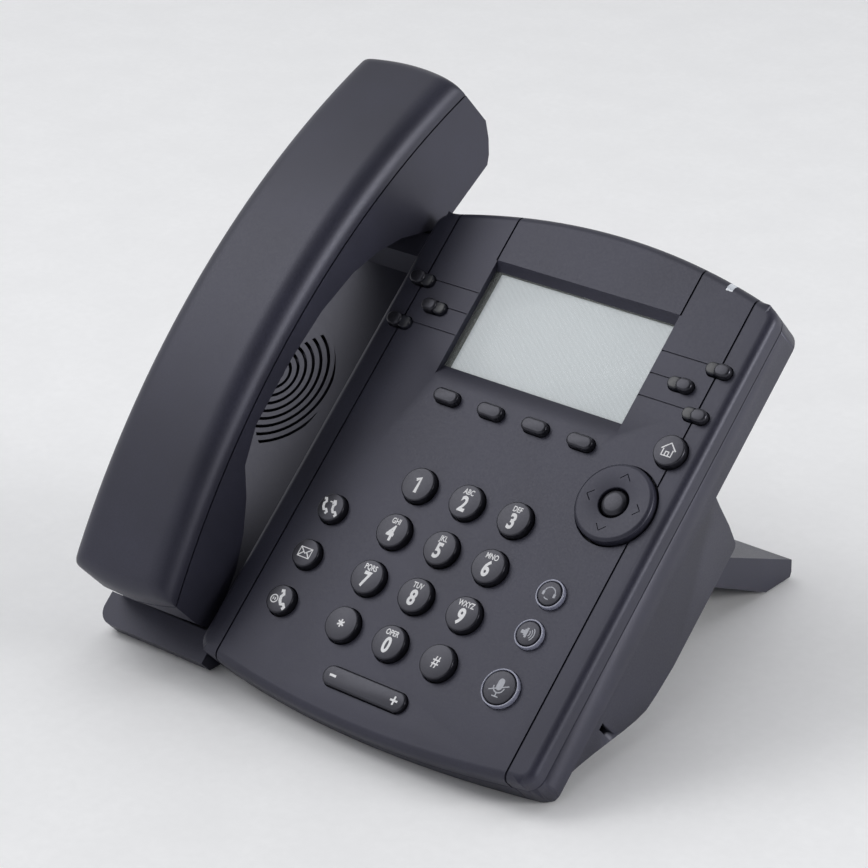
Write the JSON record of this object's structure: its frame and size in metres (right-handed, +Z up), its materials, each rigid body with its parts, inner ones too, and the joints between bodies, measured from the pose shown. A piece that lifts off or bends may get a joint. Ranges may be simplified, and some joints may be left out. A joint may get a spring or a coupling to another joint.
{
  "type": "desk ip phone",
  "caption": "Desk IP phone with a lift-off handset on a side cradle, sprung keys, tilting navigation ring, volume rocker, monochrome display and rear stand.",
  "frame": {"origin": "on the desk, under the middle of the phone's outline", "axes": "+X to the user's right, +Y away from the user, +Z up; the face is tilted 42.5 degrees from the desk"},
  "size_m": [0.19, 0.2016, 0.175],
  "materials": {
    "cover_abs": "fine moulded texture",
    "housing_abs": "fine moulded texture",
    "cradle_abs": "fine moulded texture",
    "handset_abs": "fine moulded texture",
    "stand_abs": "fine moulded texture",
    "key_abs": "satin with printed white legends",
    "window_acrylic": "clear with a hard coat",
    "display_glass": "unlit liquid crystal panel",
    "lamp_acrylic": "clear light pipe",
    "ring_polycarbonate": "smoky translucent",
    "mat_silicone": "moulded",
    "circuit_board": "solder mask",
    "jack_shield": "plated",
    "jack_nylon": "moulded",
    "speaker_frame": "pulp cone in a steel basket",
    "capsule_can": "drawn",
    "foot_rubber": "moulded",
    "screw_steel": "zinc plated",
    "weight_steel": "plated",
    "hook_acetal": "moulded",
    "gimbal_acetal": "moulded"
  },
  "bodies": {
    "phone": {"face_cover": "cover_abs", "rear_housing": "housing_abs", "handset_cradle": "cradle_abs", "display_window": "window_acrylic", "display_module": "display_glass", "message_lamp": "lamp_acrylic", "audio_light_rings": "ring_polycarbonate", "keypad_mat": "mat_silicone", "main_board": "circuit_board", "jack_board": "circuit_board", "network_jacks": "jack_shield", "audio_jacks": "jack_nylon", "power_jack": "jack_nylon", "loudspeaker": "speaker_frame", "handsfree_microphone": "capsule_can", "desk_stand": "stand_abs", "stand_feet": "foot_rubber", "front_feet": "foot_rubber", "housing_screws": "screw_steel"},
    "handset": {"handset_shell": "handset_abs", "handset_inner_shell": "handset_abs", "handset_receiver": "capsule_can", "handset_microphone": "capsule_can", "handset_jack": "jack_nylon", "handset_weight": "weight_steel", "handset_screws": "screw_steel"},
    "hook_switch": {"hook_switch": "hook_acetal"},
    "nav_gimbal": {"nav_gimbal": "gimbal_acetal"},
    "nav_ring": {"nav_ring": "key_abs"},
    "key_select": {"key_select": "key_abs"},
    "volume_rocker": {"volume_rocker": "key_abs"},
    "key_1": {"key_1": "key_abs"},
    "key_2": {"key_2": "key_abs"},
    "key_3": {"key_3": "key_abs"},
    "key_4": {"key_4": "key_abs"},
    "key_5": {"key_5": "key_abs"},
    "key_6": {"key_6": "key_abs"},
    "key_7": {"key_7": "key_abs"},
    "key_8": {"key_8": "key_abs"},
    "key_9": {"key_9": "key_abs"},
    "key_star": {"key_star": "key_abs"},
    "key_0": {"key_0": "key_abs"},
    "key_hash": {"key_hash": "key_abs"},
    "key_transfer": {"key_transfer": "key_abs"},
    "key_messages": {"key_messages": "key_abs"},
    "key_hold": {"key_hold": "key_abs"},
    "key_home": {"key_home": "key_abs"},
    "softkey_1": {"softkey_1": "key_abs"},
    "softkey_2": {"softkey_2": "key_abs"},
    "softkey_3": {"softkey_3": "key_abs"},
    "softkey_4": {"softkey_4": "key_abs"},
    "line_key_1": {"line_key_1": "key_abs"},
    "line_key_2": {"line_key_2": "key_abs"},
    "line_key_3": {"line_key_3": "key_abs"},
    "line_key_4": {"line_key_4": "key_abs"},
    "line_key_5": {"line_key_5": "key_abs"},
    "line_key_6": {"line_key_6": "key_abs"},
    "key_headset": {"key_headset": "key_abs"},
    "key_speaker": {"key_speaker": "key_abs"},
    "key_mute": {"key_mute": "key_abs"}
  },
  "joints": [
    {"name": "handset_lift", "type": "slide", "parent": "phone", "child": "handset", "axis": [0, -0.6756, 0.7373], "range_m": [0, 0.08]},
    {"name": "hook_press", "type": "slide", "parent": "phone", "child": "hook_switch", "axis": [0, 0.6756, -0.7373], "range_m": [0, 0.003], "stiffness_N_per_m": 150, "springref_m": -0.001},
    {"name": "nav_tilt_up_down", "type": "hinge", "parent": "phone", "child": "nav_gimbal", "pos_m": [0.0754, -0.01535, 0.07315], "axis": [1, 0, 0], "range_deg": [-3, 3], "stiffness_Nm_per_rad": 0.4},
    {"name": "nav_tilt_left_right", "type": "hinge", "parent": "nav_gimbal", "child": "nav_ring", "pos_m": [0.0754, -0.01535, 0.07315], "axis": [0, 0.7373, 0.6756], "range_deg": [-3, 3], "stiffness_Nm_per_rad": 0.4},
    {"name": "volume_rock", "type": "hinge", "parent": "phone", "child": "volume_rocker", "pos_m": [0.0242, -0.07862, 0.01572], "axis": [0, 0.7373, 0.6756], "range_deg": [-2.5, 2.5], "stiffness_Nm_per_rad": 0.4},
    {"name": "press_key_select", "type": "slide", "parent": "phone", "child": "key_select", "axis": [0, 0.6756, -0.7373], "range_m": [0, 0.001], "stiffness_N_per_m": 500, "springref_m": -0.0006},
    {"name": "press_key_1", "type": "slide", "parent": "phone", "child": "key_1", "axis": [0, 0.6756, -0.7373], "range_m": [0, 0.0012], "stiffness_N_per_m": 500, "springref_m": -0.0006},
    {"name": "press_key_2", "type": "slide", "parent": "phone", "child": "key_2", "axis": [0, 0.6756, -0.7373], "range_m": [0, 0.0012], "stiffness_N_per_m": 500, "springref_m": -0.0006},
    {"name": "press_key_3", "type": "slide", "parent": "phone", "child": "key_3", "axis": [0, 0.6756, -0.7373], "range_m": [0, 0.0012], "stiffness_N_per_m": 500, "springref_m": -0.0006},
    {"name": "press_key_4", "type": "slide", "parent": "phone", "child": "key_4", "axis": [0, 0.6756, -0.7373], "range_m": [0, 0.0012], "stiffness_N_per_m": 500, "springref_m": -0.0006},
    {"name": "press_key_5", "type": "slide", "parent": "phone", "child": "key_5", "axis": [0, 0.6756, -0.7373], "range_m": [0, 0.0012], "stiffness_N_per_m": 500, "springref_m": -0.0006},
    {"name": "press_key_6", "type": "slide", "parent": "phone", "child": "key_6", "axis": [0, 0.6756, -0.7373], "range_m": [0, 0.0012], "stiffness_N_per_m": 500, "springref_m": -0.0006},
    {"name": "press_key_7", "type": "slide", "parent": "phone", "child": "key_7", "axis": [0, 0.6756, -0.7373], "range_m": [0, 0.0012], "stiffness_N_per_m": 500, "springref_m": -0.0006},
    {"name": "press_key_8", "type": "slide", "parent": "phone", "child": "key_8", "axis": [0, 0.6756, -0.7373], "range_m": [0, 0.0012], "stiffness_N_per_m": 500, "springref_m": -0.0006},
    {"name": "press_key_9", "type": "slide", "parent": "phone", "child": "key_9", "axis": [0, 0.6756, -0.7373], "range_m": [0, 0.0012], "stiffness_N_per_m": 500, "springref_m": -0.0006},
    {"name": "press_key_star", "type": "slide", "parent": "phone", "child": "key_star", "axis": [0, 0.6756, -0.7373], "range_m": [0, 0.0012], "stiffness_N_per_m": 500, "springref_m": -0.0006},
    {"name": "press_key_0", "type": "slide", "parent": "phone", "child": "key_0", "axis": [0, 0.6756, -0.7373], "range_m": [0, 0.0012], "stiffness_N_per_m": 500, "springref_m": -0.0006},
    {"name": "press_key_hash", "type": "slide", "parent": "phone", "child": "key_hash", "axis": [0, 0.6756, -0.7373], "range_m": [0, 0.0012], "stiffness_N_per_m": 500, "springref_m": -0.0006},
    {"name": "press_key_transfer", "type": "slide", "parent": "phone", "child": "key_transfer", "axis": [0, 0.6756, -0.7373], "range_m": [0, 0.0012], "stiffness_N_per_m": 500, "springref_m": -0.0006},
    {"name": "press_key_messages", "type": "slide", "parent": "phone", "child": "key_messages", "axis": [0, 0.6756, -0.7373], "range_m": [0, 0.0012], "stiffness_N_per_m": 500, "springref_m": -0.0006},
    {"name": "press_key_hold", "type": "slide", "parent": "phone", "child": "key_hold", "axis": [0, 0.6756, -0.7373], "range_m": [0, 0.0012], "stiffness_N_per_m": 500, "springref_m": -0.0006},
    {"name": "press_key_home", "type": "slide", "parent": "phone", "child": "key_home", "axis": [0, 0.6756, -0.7373], "range_m": [0, 0.0012], "stiffness_N_per_m": 500, "springref_m": -0.0006},
    {"name": "press_softkey_1", "type": "slide", "parent": "phone", "child": "softkey_1", "axis": [0, 0.6756, -0.7373], "range_m": [0, 0.0012], "stiffness_N_per_m": 500, "springref_m": -0.0006},
    {"name": "press_softkey_2", "type": "slide", "parent": "phone", "child": "softkey_2", "axis": [0, 0.6756, -0.7373], "range_m": [0, 0.0012], "stiffness_N_per_m": 500, "springref_m": -0.0006},
    {"name": "press_softkey_3", "type": "slide", "parent": "phone", "child": "softkey_3", "axis": [0, 0.6756, -0.7373], "range_m": [0, 0.0012], "stiffness_N_per_m": 500, "springref_m": -0.0006},
    {"name": "press_softkey_4", "type": "slide", "parent": "phone", "child": "softkey_4", "axis": [0, 0.6756, -0.7373], "range_m": [0, 0.0012], "stiffness_N_per_m": 500, "springref_m": -0.0006},
    {"name": "press_line_key_1", "type": "slide", "parent": "phone", "child": "line_key_1", "axis": [0, 0.6756, -0.7373], "range_m": [0, 0.0012], "stiffness_N_per_m": 500, "springref_m": -0.0006},
    {"name": "press_line_key_2", "type": "slide", "parent": "phone", "child": "line_key_2", "axis": [0, 0.6756, -0.7373], "range_m": [0, 0.0012], "stiffness_N_per_m": 500, "springref_m": -0.0006},
    {"name": "press_line_key_3", "type": "slide", "parent": "phone", "child": "line_key_3", "axis": [0, 0.6756, -0.7373], "range_m": [0, 0.0012], "stiffness_N_per_m": 500, "springref_m": -0.0006},
    {"name": "press_line_key_4", "type": "slide", "parent": "phone", "child": "line_key_4", "axis": [0, 0.6756, -0.7373], "range_m": [0, 0.0012], "stiffness_N_per_m": 500, "springref_m": -0.0006},
    {"name": "press_line_key_5", "type": "slide", "parent": "phone", "child": "line_key_5", "axis": [0, 0.6756, -0.7373], "range_m": [0, 0.0012], "stiffness_N_per_m": 500, "springref_m": -0.0006},
    {"name": "press_line_key_6", "type": "slide", "parent": "phone", "child": "line_key_6", "axis": [0, 0.6756, -0.7373], "range_m": [0, 0.0012], "stiffness_N_per_m": 500, "springref_m": -0.0006},
    {"name": "press_key_headset", "type": "slide", "parent": "phone", "child": "key_headset", "axis": [0, 0.6756, -0.7373], "range_m": [0, 0.0012], "stiffness_N_per_m": 500, "springref_m": -0.0006},
    {"name": "press_key_speaker", "type": "slide", "parent": "phone", "child": "key_speaker", "axis": [0, 0.6756, -0.7373], "range_m": [0, 0.0012], "stiffness_N_per_m": 500, "springref_m": -0.0006},
    {"name": "press_key_mute", "type": "slide", "parent": "phone", "child": "key_mute", "axis": [0, 0.6756, -0.7373], "range_m": [0, 0.0012], "stiffness_N_per_m": 500, "springref_m": -0.0006}
  ]
}
